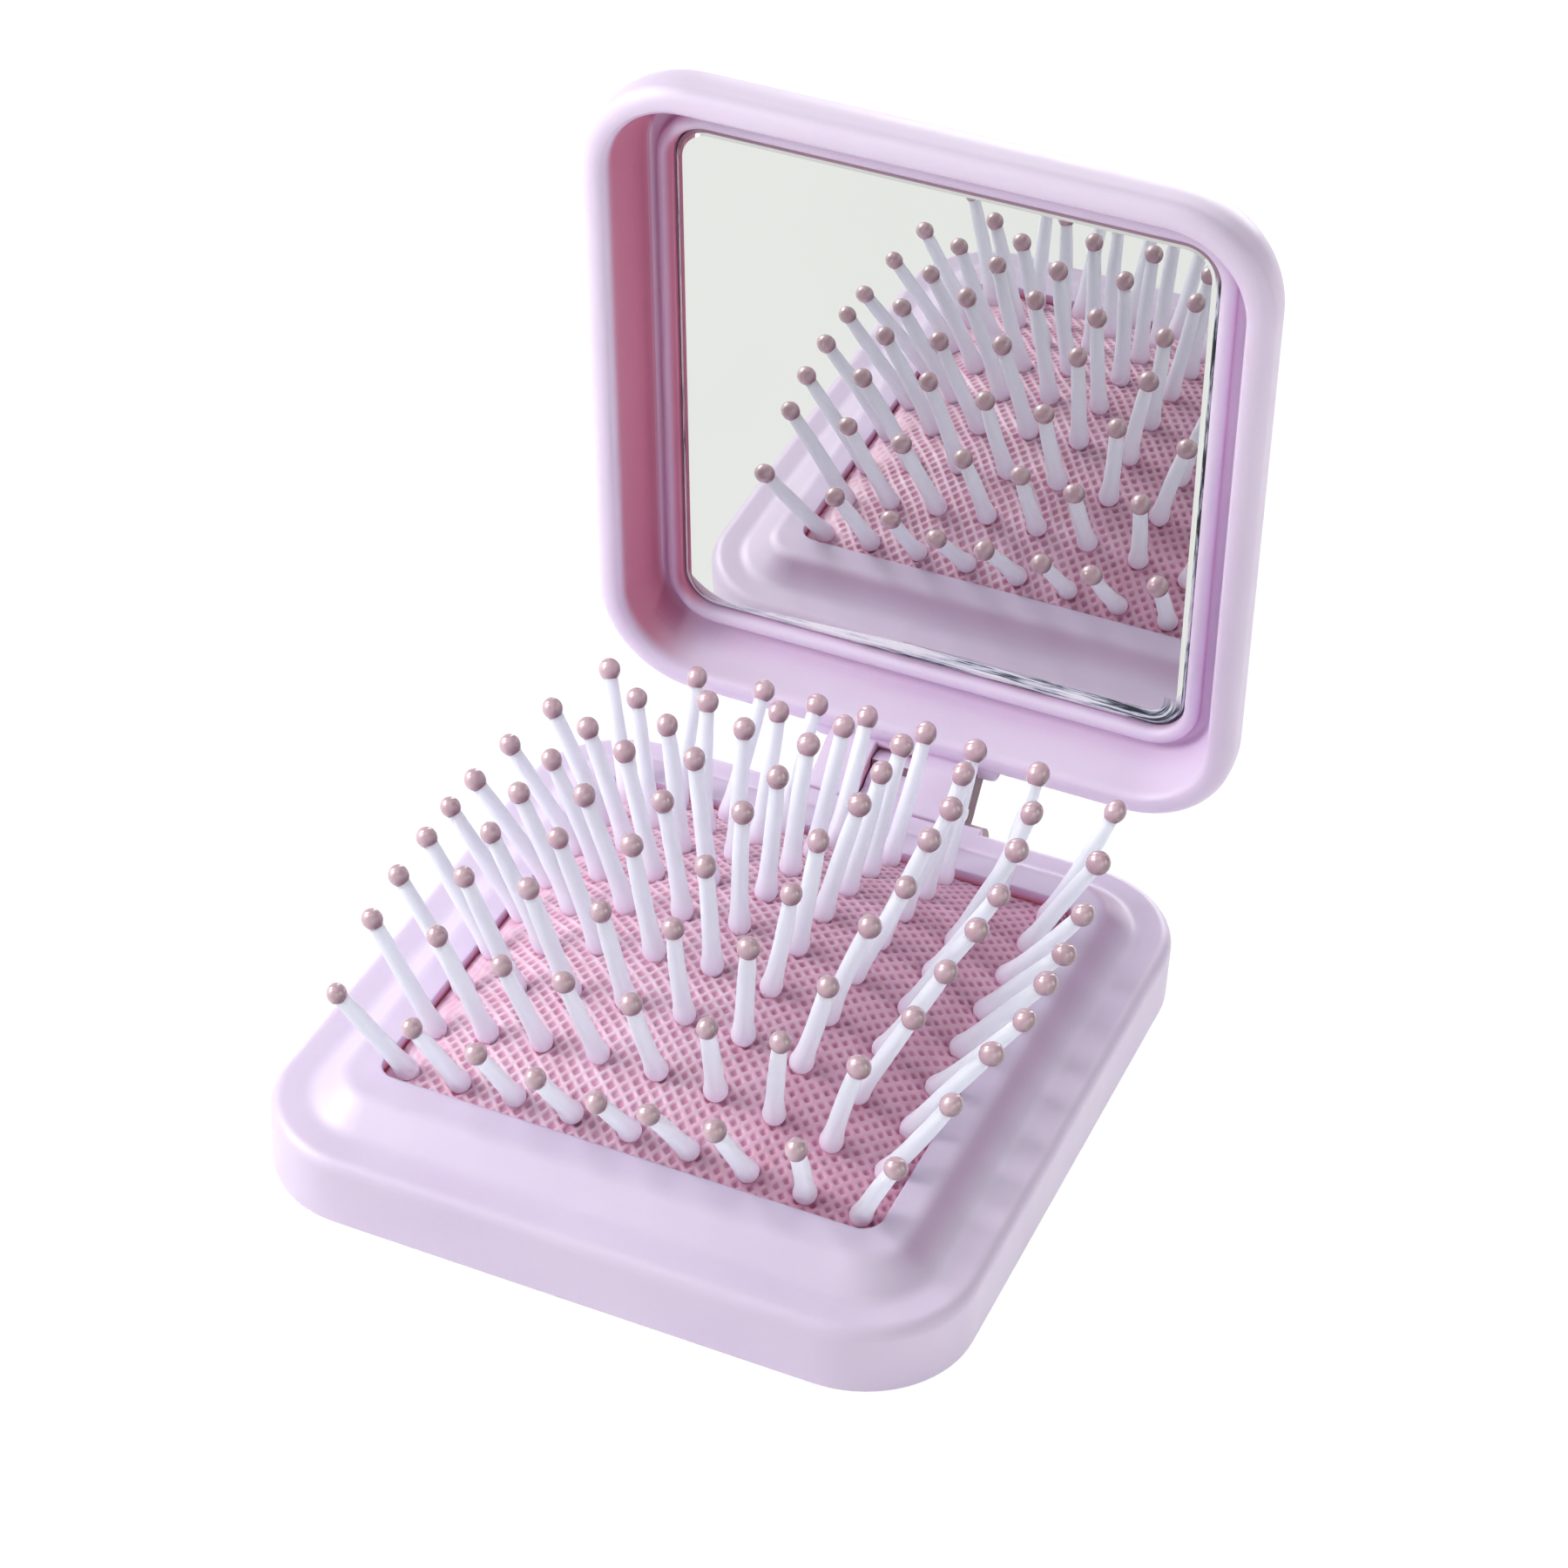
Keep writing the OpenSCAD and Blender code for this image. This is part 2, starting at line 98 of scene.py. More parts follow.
# the rubber dome: its rise, the height of its rim, how far its curve runs on under the deck, and its play
DOME_H, DOME_RIM = 9.16, 9.24
DOME_PAST_X, DOME_PAST_Y = 0.6, 0.7
DOME_GAP = 0.3
# the pins: rows on each side of the middle one, length, distance of the last row from the opening's edge,
# and how much their lean varies, in degrees
LAST = 4
STEPS = range(-LAST, LAST + 1)
PIN_LEN = 14.5
PIN_IN_X, PIN_IN_Y = 2.6, 2.7
SCATTER = 3.0
# the hinge axis, the angle of the open lid, and the height of its lip when it is shut
HINGE_Y, HINGE_Z, LID_OPEN, LIP_Z = 44.34, 6.15, math.radians(84), 8.4
# the mirror: half its width and depth, its corners, and how far it sits towards the hinge
GLASS_X, GLASS_Y, GLASS_R, GLASS_SHIFT = 30.1, 31.95, 4.0, 0.55


def dome_z(x, y):
    """Height of the rubber."""
    return DOME_RIM + DOME_H * (1 - (x / (OPEN_X + DOME_PAST_X)) ** 2) * (1 - (y / (OPEN_Y + DOME_PAST_Y)) ** 2)


def foot(i, j):
    """Where a pin leaves the rubber. The rows are a little closer near the edge."""
    u, v = i / LAST, j / LAST
    x = (OPEN_X - PIN_IN_X) * (1.04 * u - 0.04 * u ** 3)
    y = (OPEN_Y - PIN_IN_Y) * (1.04 * v - 0.04 * v ** 3)
    return np.array([x, y, dome_z(x, y)])


def scatter(i, j, k):
    """A fixed irregular number between -1 and 1 for each pin and purpose k."""
    return math.fmod(math.sin(math.radians(i * 12711 + j * 31173 + k * 7411)) * 43.7, 1)


def pin_dir(i, j):
    """Direction of a pin: they fan out, and lean in a little at the corners."""
    u, v = i / LAST, j / LAST
    a = u * (36.9 - 44.1 * v * v + 28.4 * u * u * v * v) + SCATTER * (1 - 0.6 * u ** 4) * scatter(i, j, 1)
    b = v * (26.6 + 12.9 * v * v - 44.7 * u * u + 28.4 * u * u * v * v) \
        + SCATTER * (1 - 0.6 * v ** 4) * scatter(i, j, 2)
    d = np.array([math.tan(math.radians(a)), math.tan(math.radians(b)), 1.0])
    return d / np.linalg.norm(d)


# ---------------------------------------------------------------- shader helpers
# Where a value goes in, either the output of another node or a constant may be given.

LEFT, RIGHT, FRONT, BACK, DOWN, UP = (-1, 0, 0), (1, 0, 0), (0, -1, 0), (0, 1, 0), (0, 0, -1), (0, 0, 1)
WHITE = (1, 1, 1, 1)


def material(name):
    mat = bpy.data.materials.new(name)
    mat.use_nodes = True
    nt = mat.node_tree
    return mat, nt, nt.nodes["Principled BSDF"]


def node(nt, kind, **props):
    n = nt.nodes.new(kind)
    for k, v in props.items():
        setattr(n, k, v)
    return n


def feed(nt, socket, value):
    if isinstance(value, bpy.types.NodeSocket):
        nt.links.new(value, socket)
    else:
        socket.default_value = value


def shade(nt, bsdf, values):
    for name, value in values.items():
        feed(nt, bsdf.inputs[name], value)


def object_coords(nt):
    return node(nt, "ShaderNodeTexCoord").outputs["Object"]


def object_normal(nt):
    return node(nt, "ShaderNodeTexCoord").outputs["Normal"]


def noise(nt, coords, scale, detail=3.0, rough=0.5):
    n = node(nt, "ShaderNodeTexNoise")
    for name, value in (("Vector", coords), ("Scale", scale), ("Detail", detail), ("Roughness", rough)):
        feed(nt, n.inputs[name], value)
    return n.outputs["Fac"]


def ramp(nt, fac, stops):
    r = node(nt, "ShaderNodeValToRGB")
    els = r.color_ramp.elements
    while len(els) < len(stops):
        els.new(0.5)
    for e, (place, color) in zip(els, stops):
        e.position, e.color = place, (*color[:3], 1)
    nt.links.new(fac, r.inputs["Fac"])
    return r.outputs["Color"]


def maths(nt, operation, a, b):
    m = node(nt, "ShaderNodeMath", operation=operation)
    feed(nt, m.inputs[0], a)
    feed(nt, m.inputs[1], b)
    return m.outputs[0]


def times(nt, *values):
    out = values[0]
    for v in values[1:]:
        out = maths(nt, "MULTIPLY", out, v)
    return out


def vector(nt, operation, a, b=None):
    v = node(nt, "ShaderNodeVectorMath", operation=operation)
    nt.links.new(a, v.inputs[0])
    if b:
        v.inputs[1].default_value = b
    return v.outputs["Value" if operation in ("DOT_PRODUCT", "LENGTH") else "Vector"]


def dot(nt, vec, by, offset=0.0):
    out = vector(nt, "DOT_PRODUCT", vec, by)
    return maths(nt, "ADD", out, offset) if offset else out


def span(nt, fac, a, b, lo, hi):
    """From lo at a to hi at b, in a straight line."""
    m = node(nt, "ShaderNodeMapRange")
    for k, v in zip(("Value", "From Min", "From Max", "To Min", "To Max"), (fac, a, b, lo, hi)):
        feed(nt, m.inputs[k], v)
    return m.outputs["Result"]


def smooth(nt, fac, a, b):
    """From 0 at a to 1 at b, with a soft start and end."""
    m = node(nt, "ShaderNodeMapRange", interpolation_type="SMOOTHSTEP")
    for k, v in zip(("Value", "From Min", "From Max"), (fac, a, b)):
        feed(nt, m.inputs[k], v)
    return m.outputs["Result"]


def beyond(nt, co, axis, a, b):
    """0 as far as a millimetres along the axis, and 1 from b millimetres on."""
    return smooth(nt, dot(nt, co, axis), a * MM, b * MM)


def towards(nt, normal, axis, a, b):
    """1 where the surface looks along the axis, 0 where it looks elsewhere."""
    return smooth(nt, dot(nt, normal, axis), a, b)


def mixed(nt, factor, a, b, blend_type="MIX"):
    mix = node(nt, "ShaderNodeMix", data_type="RGBA", blend_type=blend_type)
    for name, value in (("Factor", factor), ("A", a), ("B", b)):
        feed(nt, mix.inputs[name], value)
    return mix.outputs["Result"]


def tint(nt, color, factor, by):
    """color times by, as far as factor says."""
    return mixed(nt, factor, color, (*by[:3], 1) if isinstance(by, tuple) else by, "MULTIPLY")


def bump(nt, bsdf, height, strength, distance):
    b = node(nt, "ShaderNodeBump")
    for name, value in (("Height", height), ("Strength", strength), ("Distance", distance)):
        feed(nt, b.inputs[name], value)
    nt.links.new(b.outputs["Normal"], bsdf.inputs["Normal"])
    return b


def soften(nt, radius):
    """Normals that run round sharp edges, as a moulded edge does."""
    bev = node(nt, "ShaderNodeBevel", samples=4)
    bev.inputs["Radius"].default_value = radius
    return bev.outputs["Normal"]


def openness(nt, reach):
    """How open a point is to its surroundings, within reach."""
    ao = node(nt, "ShaderNodeAmbientOcclusion", samples=6)
    ao.inputs["Distance"].default_value = reach
    return ao.outputs["AO"]


def painted_recess_shade(nt, color, reach, where):
    """Painted shade: deep corners, as ambient occlusion finds them, go from lilac to a darker rose, as light that has
    been through the plastic does.
    """
    rosy_shade = ramp(nt, openness(nt, reach), [(0.05, (0.58, 0.26, 0.38)), (0.4, (0.95, 0.81, 0.92)), (0.75, WHITE)])
    return tint(nt, color, where, rosy_shade)


# ---------------------------------------------------------------- materials

def plastic(name, shades, rough=(0.30, 0.40), glow=0.12, edge=0.35 * MM, inner=None):
    """Moulded plastic: a little cloudy, faintly pebbled."""
    mat, nt, bsdf = material(name)
    co = object_coords(nt)
    color = ramp(nt, noise(nt, co, 45, 3), [(place, lin(*c)) for place, c in zip((0.3, 0.5, 0.7), shades)])
    bsdf.inputs["Subsurface Weight"].default_value = glow
    if inner:
        color = inner(nt, co, color, bsdf)
    shade(nt, bsdf, {
        "Base Color": color,
        "Roughness": span(nt, noise(nt, co, 320, 4), 0.3, 0.7, *rough),
        "IOR": 1.5,
        "Subsurface Radius": (1.0, 0.30, 0.45),
        "Subsurface Scale": 1.5 * MM})
    pebbles = bump(nt, bsdf, noise(nt, co, 2600, 2), 0.04, 0.04 * MM)
    if edge:
        nt.links.new(soften(nt, edge), pebbles.inputs["Normal"])
    return mat


def lid_painted_shade(nt, co, color, bsdf):
    """Painted shade inside the lid: the shaded wall, where daylight comes through the plastic from outside, is painted
    deep rose.
    """
    c, s = math.cos(LID_OPEN), math.sin(LID_OPEN)
    normal = object_normal(nt)
    # depth into the lid from its lip
    depth = dot(nt, co, (0, s, c), (HINGE_Z - HINGE_Y * s - HINGE_Z * c - LIP_Z) * MM)
    rose = times(nt, towards(nt, normal, RIGHT, 0.05, 0.85), beyond(nt, co, LEFT, 22, 30),
                 smooth(nt, depth, 0.3 * MM, 2.2 * MM), beyond(nt, co, RIGHT, -35.5, -34.9))
    color = tint(nt, color, rose, (0.84, 0.355, 0.415))
    # painted shade: the bead beside that wall lies in its shade
    bead_shade = times(nt, beyond(nt, co, LEFT, 29.3, 30.6), beyond(nt, co, RIGHT, -33.2, -32.7),
                   smooth(nt, depth, 3 * MM, 5 * MM), towards(nt, normal, FRONT, 0.1, 0.4))
    color = tint(nt, color, bead_shade, (0.78, 0.62, 0.72))
    # painted shade: the wall away from the hinge lies in shade too
    far_wall_shade = times(nt, towards(nt, normal, DOWN, 0.35, 0.75), beyond(nt, co, UP, 60, 65))
    color = tint(nt, color, far_wall_shade, (0.88, 0.78, 0.86))
    color = painted_recess_shade(nt, color, 4 * MM, beyond(nt, co, UP, 2, 5))
    # painted shade: the hinge arms are darker on their outer sides, with less sheen, and the slot between them is
    # painted maroon
    arms = times(nt, beyond(nt, co, BACK, CASE_D / 2 + 1.2, CASE_D / 2 + 1.8), beyond(nt, co, DOWN, -11.2, -10.4))
    arm_shade = times(nt, arms, beyond(nt, co, RIGHT, 8.4, 8.7), towards(nt, normal, RIGHT, 0.3, 0.7))
    color = tint(nt, color, arm_shade, (0.20, 0.115, 0.12))
    nt.links.new(span(nt, arm_shade, 0, 1, 0.5, 0.08), bsdf.inputs["Specular IOR Level"])
    slot_shade = beyond(nt, vector(nt, "ABSOLUTE", co), LEFT, -3.3, -3.0)
    return tint(nt, color, times(nt, arms, slot_shade), (1.0, 0.32, 0.38))


def base_painted_shade(nt, co, color, bsdf):
    """Painted shade on the case: the walls of the opening go from lilac at the deck to deep rose at the rubber,
    darkest where the shade is deepest.
    """
    normal = object_normal(nt)
    apart = vector(nt, "ABSOLUTE", co)
    within = times(nt, beyond(nt, apart, LEFT, -OPEN_X - 0.35, -OPEN_X - 0.25),
                   beyond(nt, apart, FRONT, -OPEN_Y - 0.35, -OPEN_Y - 0.25))
    deep = ramp(nt, span(nt, dot(nt, co, UP), 8.8 * MM, 10.8 * MM, 0, 1), [
        (0.0, (1.0, 0.19, 0.145)), (0.30, (1.0, 0.37, 0.36)), (0.6, (1.0, 0.72, 0.80)), (0.95, WHITE)])
    color = tint(nt, color, within, deep)
    nt.links.new(span(nt, within, 0, 1, 0.12, 0.35), bsdf.inputs["Subsurface Weight"])
    # painted shade: the hinge cheeks behind the back wall are darker on their sides and undersides, and so is their
    # end on the deck
    turned = maths(nt, "MAXIMUM", towards(nt, normal, (0.35, 0, -1), -0.75, -0.25), beyond(nt, co, RIGHT, 9.0, 9.6))
    cheek_shade = times(nt, turned, beyond(nt, co, BACK, CASE_D / 2 + 0.1, CASE_D / 2 + 0.4),
                   towards(nt, normal, FRONT, -0.8, -0.5))
    end = times(nt, beyond(nt, co, RIGHT, 9.4, 10.0), beyond(nt, co, BACK, 38.0, 38.4), beyond(nt, co, UP, 8.2, 8.4))
    color = tint(nt, color, maths(nt, "MAXIMUM", cheek_shade, end), (0.34, 0.20, 0.20))
    # painted shade: the slopes that turn from the light are a little darker and rosier
    clear = maths(nt, "SUBTRACT", 1.0, within)
    slope_shade = times(nt, towards(nt, normal, (0.75, 0.65, 0), 0.0, 0.55), beyond(nt, co, UP, 8, 10), clear)
    color = tint(nt, color, slope_shade, (0.80, 0.66, 0.75))
    return painted_recess_shade(nt, color, 1.8 * MM, times(nt, clear, beyond(nt, co, UP, 2, 5)))


def rubber():
    """Woven look: pale threads over a deeper pink."""
    mat, nt, bsdf = material("pink_rubber")
    co = object_coords(nt)
    thread = node(nt, "ShaderNodeAttribute", attribute_name="thread").outputs["Fac"]
    color = ramp(nt, thread, [
        (0.0, lin(214, 157, 187)), (0.4, lin(225, 176, 203)), (0.8, lin(242, 208, 228)), (1.0, lin(247, 219, 236))])
    # painted shade: darker and pinker towards the right, where the dome turns from the light
    color = tint(nt, color, beyond(nt, co, RIGHT, -4, 18), (0.90, 0.73, 0.80))
    blotches = ramp(nt, noise(nt, co, 230, 3), [(0.35, (0.90, 0.83, 0.85)), (0.6, WHITE)])
    color = tint(nt, color, 1.0, blotches)
    # painted shade: the holes between the threads, and other deep places, are painted darker and rosy
    holes = ramp(nt, openness(nt, 0.9 * MM), [(0.1, (0.72, 0.42, 0.44)), (0.45, (0.95, 0.84, 0.87)), (0.8, WHITE)])
    shade(nt, bsdf, {
        "Base Color": tint(nt, color, 1.0, holes),
        "Roughness": span(nt, thread, 0, 1, 0.62, 0.42),
        "Subsurface Weight": 0.3,
        "Subsurface Radius": (1.0, 0.35, 0.45),
        "Subsurface Scale": 0.8 * MM})
    bump(nt, bsdf, noise(nt, co, 5200, 2), 0.12, 0.05 * MM)
    return mat


def nylon():
    mat, nt, bsdf = material("white_nylon")
    co = object_coords(nt)
    # painted reflected light: the foot is tinted pink, as light thrown back from the rubber would tint it
    along = node(nt, "ShaderNodeAttribute", attribute_name="along").outputs["Fac"]
    color = ramp(nt, along, [
        (0.0, lin(236, 219, 240)), (0.07, lin(240, 229, 247)), (0.17, lin(243, 242, 253)), (0.4, lin(243, 247, 255))])
    bsdf.subsurface_method = "BURLEY"
    shade(nt, bsdf, {
        "Base Color": tint(nt, color, noise(nt, co, 150, 2), (0.98, 0.98, 0.99)),
        "Roughness": span(nt, noise(nt, co, 300, 2), 0.3, 0.7, 0.30, 0.40),
        "Subsurface Weight": 0.8,
        "Subsurface Radius": (0.85, 0.88, 1.0),
        "Subsurface Scale": 1.6 * MM,
        # painted glow: a faint emission stands in for the light that nylon passes along its length
        "Emission Color": (0.84, 0.90, 1.0, 1),
        "Emission Strength": 0.05,
        "IOR": 1.5})
    bump(nt, bsdf, noise(nt, co, 500, 2), 0.05, 0.05 * MM)
    return mat


def resin():
    mat, nt, bsdf = material("mauve_resin")
    co = object_coords(nt)
    color = ramp(nt, noise(nt, co, 170, 2), [(0.3, lin(203, 169, 180)), (0.7, lin(213, 180, 191))])
    # painted shade: the balls are darker on the side turned from the light, towards the right and below
    ball_shade = towards(nt, object_normal(nt), (0.80, -0.10, -0.45), 0.1, 0.95)
    shade(nt, bsdf, {
        "Base Color": tint(nt, color, ball_shade, (0.26, 0.16, 0.18)),
        "Roughness": span(nt, noise(nt, co, 900, 2), 0.3, 0.7, 0.20, 0.28),
        "IOR": 1.46,
        "Coat Weight": 1.0,
        "Coat Roughness": 0.03,
        "Coat IOR": 1.7})
    bump(nt, bsdf, noise(nt, co, 1100, 2), 0.05, 0.05 * MM)
    return mat


def steel():
    """Drawn wire, with fine streaks along it."""
    mat, nt, bsdf = material("drawn_steel")
    drawn = node(nt, "ShaderNodeMapping")
    feed(nt, drawn.inputs["Vector"], object_coords(nt))
    feed(nt, drawn.inputs["Scale"], (0.02, 1, 1))
    streak = noise(nt, drawn.outputs["Vector"], 400, 3)
    shade(nt, bsdf, {
        "Base Color": ramp(nt, streak, [(0.3, (0.5828, 0.5828, 0.6016)), (0.7, (0.62, 0.62, 0.64))]),
        "Roughness": span(nt, streak, 0.3, 0.7, 0.24, 0.36),
        "Metallic": 1.0})
    bump(nt, bsdf, streak, 0.2, 0.02 * MM)
    return mat


def mirror():
    """Silvered glass: a clean reflection with a faint, slightly uneven tint, and a ground edge."""
    mat, nt, bsdf = material("silvered_glass")
    co = object_coords(nt)
    clean = ramp(nt, noise(nt, co, 30, 2), [(0.3, (0.72, 0.735, 0.708)), (0.7, (0.74, 0.753, 0.727))])
    # the place on the glass as if the lid were shut
    c, s = math.cos(LID_OPEN), math.sin(LID_OPEN)
    x = dot(nt, co, RIGHT)
    up = dot(nt, co, (0, c, -s), (HINGE_Y - c * HINGE_Y + s * HINGE_Z - GLASS_SHIFT) * MM)
    place = node(nt, "ShaderNodeCombineXYZ")
    nt.links.new(x, place.inputs["X"])
    nt.links.new(up, place.inputs["Y"])
    place = place.outputs[0]
    # and from it the distance from the straight parts of the outline: GLASS_R at the edge, less inside it
    straight = ((GLASS_X - GLASS_R) * MM, (GLASS_Y - GLASS_R) * MM, 0)
    past = vector(nt, "SUBTRACT", vector(nt, "ABSOLUTE", place), straight)
    out = vector(nt, "LENGTH", vector(nt, "MAXIMUM", past, (0, 0, -1)))

    def rim(distance, width, soft):
        return smooth(nt, distance, (GLASS_R - width) * MM, (GLASS_R - width + soft) * MM)

    # the wide ground edge shows only beside the hinge, and narrows to the left
    narrowed = maths(nt, "ADD", out, span(nt, x, -30 * MM, -2 * MM, -1.6 * MM, 0))
    wide = times(nt, rim(narrowed, 2.35, 0.25), beyond(nt, place, BACK, 27.0, 29.2))
    # painted shade: along the far side the edge lies in the shade of the lip, and is painted mauve
    far = beyond(nt, place, FRONT, 27, 29)
    edge = maths(nt, "MAXIMUM", wide, maths(nt, "MAXIMUM", rim(out, 0.32, 0.08), times(nt, rim(out, 0.52, 0.08), far)))
    # grinding marks run along the edge: bright on the left, with darker streaks towards the right
    marks = node(nt, "ShaderNodeCombineXYZ")
    for k, v in enumerate((times(nt, x, 0.22), dot(nt, place, (0, 0.22, 0)), times(nt, out, 3.2))):
        nt.links.new(v, marks.inputs[k])
    marks = maths(nt, "ADD", noise(nt, marks.outputs[0], 620, 4, 0.6), span(nt, x, -10 * MM, 22 * MM, 0.06, -0.07))
    ground = ramp(nt, marks, [
        (0.37, (0.02, 0.03, 0.035)), (0.42, (0.22, 0.27, 0.30)), (0.47, (0.66, 0.73, 0.80)), (0.56, (0.97, 1, 1))])
    ground = mixed(nt, far, ground, (0.40, 0.27, 0.34, 1))
    shade(nt, bsdf, {
        "Base Color": mixed(nt, edge, clean, ground),
        "Metallic": span(nt, edge, 0, 1, 1.0, 0.12),
        "Roughness": span(nt, edge, 0, 1, 0.0, 0.18)})
    # the glass isn't quite true to the case: it throws its picture 1 or 2 degrees off
    bump(nt, bsdf, dot(nt, co, (0.0190, 0.0, -0.0300)), 1.0, 1.0)
    return mat


case_mat = plastic("lilac_case", [(226, 211, 238), (229, 215, 240), (231, 218, 242)], inner=base_painted_shade)
# painted light: the lid is the case's plastic made a little lighter, standing in for the stronger light on it
lid_mat = plastic("lilac_lid", [(231, 216, 241), (234, 220, 243), (236, 223, 245)], edge=0.5 * MM, inner=lid_painted_shade)
frame_mat = plastic("lilac_frame", [(210, 194, 224), (215, 200, 228), (219, 205, 231)], (0.45, 0.6), 0.0, 0.0)
rubber_mat, nylon_mat, resin_mat, mirror_mat, steel_mat = rubber(), nylon(), resin(), mirror(), steel()
tape_mat = plastic("white_tape", [(234, 234, 228), (238, 238, 232), (242, 242, 236)], (0.6, 0.75), 0.0, 0.0)
paint_mat = plastic("grey_backing", [(112, 116, 122), (118, 122, 128), (124, 128, 134)], (0.5, 0.6), 0.0, 0.0)

for name, mat in (("base_housing", case_mat), ("lid_shell", lid_mat), ("bottom_frame", frame_mat),
                  ("hinge_pin", steel_mat), ("mirror_tape", tape_mat), ("mirror_backing", paint_mat),
                  ("mirror_glass", mirror_mat)):
    dress(frame["nodes"][name], mat)


# ---------------------------------------------------------------- the rubber pad

# thickness of the dome, and its skirt: distance out from the opening and height, from under the deck inwards
DOME_WALL = 1.2
SKIRT = [(0.3, 8.42), (3.6, 8.42), (3.9, 8.2), (3.9, 7.3), (3.6, 7.12), (0, 7.12), (-1.3, 7.12)]
# rings on the underside of the dome, as shares of its outline
UNDERSIDE = (0.95, 0.9, 0.8, 0.65, 0.5, 0.35, 0.2, 0.08)


def step_up(t, a, b):
    """From 0 at a to 1 at b, with a soft start and end."""
    t = np.clip((t - a) / (b - a), 0, 1)
    return t * t * (3 - 2 * t)


def weave(X, Y, hx):
    """Height of the threads, from 0 to 1, and how far plain rubber takes their place."""
    # two sets of threads cross at about 45 degrees to the case
    wob = 0.06 * np.sin(X * 0.5 + 1.3 * np.sin(Y * 0.37)) + 0.05 * np.sin(Y * 0.7 + X * 0.21)
    p = 0.59 * X + 0.68 * Y + wob
    q = -0.70 * X + 0.545 * Y - wob
    # no two holes are equally deep
    cell = np.sin(np.floor(p) * 12.9898 + np.floor(q) * 78.233) * 43758.5453
    cell = cell - np.floor(cell)
    # the holes close up towards the right
    close = 0.06 * step_up(X, -2, 15)

    def ridge(t):
        return 1 - step_up(np.abs((t + 0.5) % 1 - 0.5) - close, 0.07, 0.31)
    thread = np.clip(1 - (1 - ridge(p)) * (1 - ridge(q)) * (0.9 + 0.25 * (cell - 0.5)), 0, 1)
    # along the left edge the mesh runs out in small creases
    plain = 1 - step_up(X + hx + 0.9 * np.sin(0.9 * Y) + 0.5 * np.sin(2.1 * Y + 1), 1.8, 5.4)
    crease = np.sin(5.2 * X + 1.1 * Y + 1.7 * np.sin(1.3 * Y + 0.8 * X)) \
        * np.sin(2.3 * Y - 1.9 * X + 1.2 * np.sin(0.9 * Y))
    return thread * (1 - plain) + plain * (0.80 + 0.2 * crease), plain


def pad():
    """Dome with a moulded diamond mesh on top, a skirt down into the base and a smooth underside."""
    hx, hy, r = OPEN_X - DOME_GAP / 2, OPEN_Y - DOME_GAP / 2, OPEN_R - DOME_GAP / 2
    grain = 0.15
    nx, ny = int(2 * hx / grain), int(2 * hy / grain)
    # grid lines, with the corner squares bent into quarter circles
    X, Y = np.meshgrid(np.linspace(-hx, hx, nx + 1), np.linspace(-hy, hy, ny + 1))
    a = np.clip((np.abs(X) - (hx - r)) / r, 0, 1)
    b = np.clip((np.abs(Y) - (hy - r)) / r, 0, 1)
    ax, by = a * np.sqrt(1 - b * b / 2), b * np.sqrt(1 - a * a / 2)
    corner = (a > 0) & (b > 0)
    X = np.where(corner, np.sign(X) * (hx - r + r * ax), X)
    Y = np.where(corner, np.sign(Y) * (hy - r + r * by), Y)
    # distance from the outline
    edge = np.minimum(hx - np.abs(X), hy - np.abs(Y))
    edge = np.where(corner, r - np.hypot(a, b) * r, edge)

    thread, plain = weave(X, Y, hx)
    Z = dome_z(X, Y) + 0.08 - (0.27 - 0.05 * plain) * (1 - thread)
    # small dent round each pin, where it pulls on the rubber
    for j in STEPS:
        for i in STEPS:
            f = foot(i, j)
            d = np.hypot(X - f[0], Y - f[1])
            Z -= 0.22 * np.exp(-(d / 1.5) ** 2)
            # the weave's colour also fades towards the deeper pink close round each foot
            thread = thread * (1 - 0.35 * np.exp(-(d / 1.3) ** 4))
    # the edge is rolled down
    Z -= 0.15 * np.exp(-(edge / 0.4) ** 2)

    top = np.stack([X, Y, Z], -1).reshape(-1, 3)
    idx = np.arange(len(top)).reshape(ny + 1, nx + 1)
    faces = [np.stack([idx[:-1, :-1], idx[:-1, 1:], idx[1:, 1:], idx[1:, :-1]], -1).reshape(-1, 4)]
    # boundary ring, counter-clockwise seen from above
    ring = np.concatenate([idx[0, :-1], idx[:-1, -1], idx[-1, :0:-1], idx[:0:-1, 0]])
    m = len(ring)
    B = top[ring]

    def level(z, out=0.0):
        return np.c_[B[:, 0] * (1 + out / hx), B[:, 1] * (1 + out / hy), np.full(m, z)]

    def inner(share):
        k = B[:, :2] * share
        return np.c_[k, dome_z(k[:, 0], k[:, 1]) - DOME_WALL]
    rows, start = [top], len(top)
    for layer in [level(9.0), level(8.6)] + [level(z, out) for out, z in SKIRT] + [inner(s) for s in UNDERSIDE]:
        below = np.arange(start, start + m)
        faces.append(np.stack([ring, below, np.roll(below, -1), np.roll(ring, -1)], -1))
        rows.append(layer)
        ring = below
        start += m
    # a fan of triangles closes the middle of the underside
    verts = np.concatenate(rows + [[[0, 0, dome_z(0, 0) - DOME_WALL]]])
    fan = np.stack([ring, np.full(m, start), np.roll(ring, -1)], -1)
    mesh = bpy.data.meshes.new("cushion_rubber")
    mesh.from_pydata((verts * MM).tolist(), [], np.concatenate(faces).tolist() + fan.tolist())
    mesh.polygons.foreach_set("use_smooth", [True] * len(mesh.polygons))
    threads = np.full(len(verts), 0.35, np.float32)
    threads[:len(top)] = thread.reshape(-1)
    mesh.attributes.new("thread", "FLOAT", "POINT").data.foreach_set("value", threads)
    return link("cushion_rubber", mesh)


pad_obj = pad()
dress(pad_obj, rubber_mat)
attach(pad_obj, "base")
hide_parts("cushion_pad")


# ---------------------------------------------------------------- pins and balls

